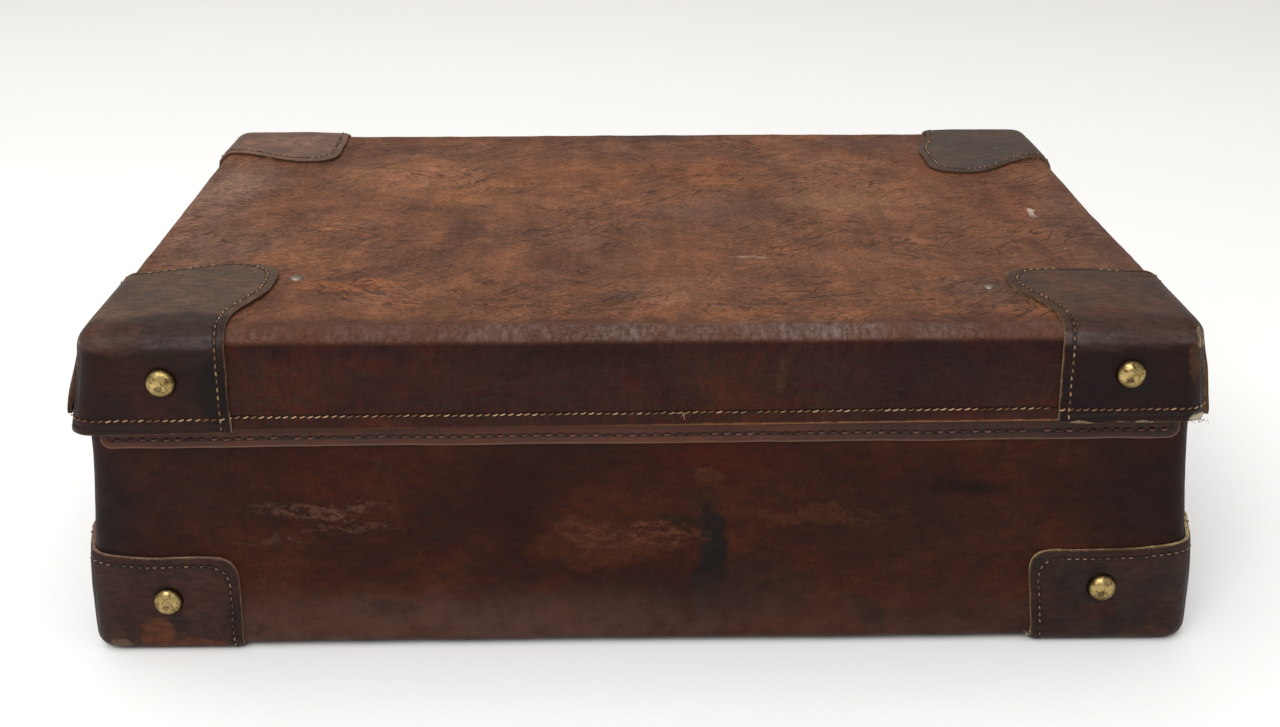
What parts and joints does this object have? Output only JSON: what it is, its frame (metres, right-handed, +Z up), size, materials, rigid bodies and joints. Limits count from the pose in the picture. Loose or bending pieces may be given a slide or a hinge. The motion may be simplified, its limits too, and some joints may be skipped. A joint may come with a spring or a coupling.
{
  "type": "leather suitcase",
  "caption": "Hard-sided leather briefcase or small suitcase with a lid that closes over the base on a sewn hinge strip, corner patches, domed brass feet, a swinging handle and hasp locks.",
  "frame": {"origin": "middle of the bounding box at floor level, case lying flat with its lid up and shut", "axes": "+Z up, +X along the width, +Y towards the hinge side, -Y towards the handle and locks"},
  "size_m": [0.5652, 0.42, 0.1826],
  "materials": {
    "hide": "worn mottled brown hide with fine creases, satin",
    "patch_hide": "dark worn hide with pale raw edges",
    "strip_hide": "dark red-brown hide, creased, sewn",
    "handle_hide": "polished worn hide",
    "brass": "tarnished, dented brass",
    "steel": "dull grey, worn",
    "board": "pressed fibre board",
    "frame_wood": "plain ash",
    "lining_cloth": "woven cotton lining"
  },
  "bodies": {
    "case_base": {"base_shell": "hide", "base_bottom_board": "board", "base_front_board": "board", "base_rear_board": "board", "base_side_boards": "board", "rim_frame": "frame_wood", "rim_binding": "patch_hide", "base_lining": "lining_cloth", "hinge_strip_base": "strip_hide", "base_patch_rear_left": "patch_hide", "base_patch_rear_right": "patch_hide", "base_patch_front_left": "patch_hide", "base_patch_front_right": "patch_hide", "base_studs": "brass", "base_stud_burrs": "brass", "handle_plate_left": "brass", "handle_plate_right": "brass", "handle_pins": "brass", "lock_plate_left": "brass", "lock_plate_right": "brass", "lock_case_left": "brass", "lock_case_right": "brass", "front_rivets": "brass", "front_burrs": "steel"},
    "lid": {"lid_shell": "hide", "lid_board": "board", "lid_lining": "lining_cloth", "hinge_strip_lid": "strip_hide", "lid_patch_rear_left": "patch_hide", "lid_patch_rear_right": "patch_hide", "lid_patch_front_left": "patch_hide", "lid_patch_front_right": "patch_hide", "lid_studs": "brass", "lid_stud_burrs": "brass", "lid_rivets": "steel", "lid_rivet_burrs": "steel", "hasp_leaf_left": "brass", "hasp_leaf_right": "brass", "hasp_pin_left": "steel", "hasp_pin_right": "steel", "leaf_rivets": "brass", "leaf_burrs": "steel"},
    "handle": {"handle_grip": "handle_hide", "handle_core": "steel", "handle_end_left": "brass", "handle_end_right": "brass"},
    "hasp_left": {"hasp_left": "brass"},
    "hasp_right": {"hasp_right": "brass"},
    "lock_slide_left": {"lock_slide_left": "brass"},
    "lock_slide_right": {"lock_slide_right": "brass"}
  },
  "joints": [
    {"name": "lid_hinge", "type": "hinge", "parent": "case_base", "child": "lid", "pos_m": [0, 0.1989, 0.129], "axis": [-1, 0, 0], "range_deg": [0, 95]},
    {"name": "handle_swing", "type": "hinge", "parent": "case_base", "child": "handle", "pos_m": [0, -0.199, 0.1], "axis": [-1, 0, 0], "range_deg": [0, 170]},
    {"name": "hasp_left_swing", "type": "hinge", "parent": "lid", "child": "hasp_left", "pos_m": [0.165, -0.1931, 0.138], "axis": [-1, 0, 0], "range_deg": [0, 120]},
    {"name": "hasp_right_swing", "type": "hinge", "parent": "lid", "child": "hasp_right", "pos_m": [-0.165, -0.1931, 0.138], "axis": [-1, 0, 0], "range_deg": [0, 120]},
    {"name": "lock_left_slide", "type": "slide", "parent": "case_base", "child": "lock_slide_left", "axis": [-1, 0, 0], "range_m": [0, 0.005]},
    {"name": "lock_right_slide", "type": "slide", "parent": "case_base", "child": "lock_slide_right", "axis": [1, 0, 0], "range_m": [0, 0.005]}
  ]
}
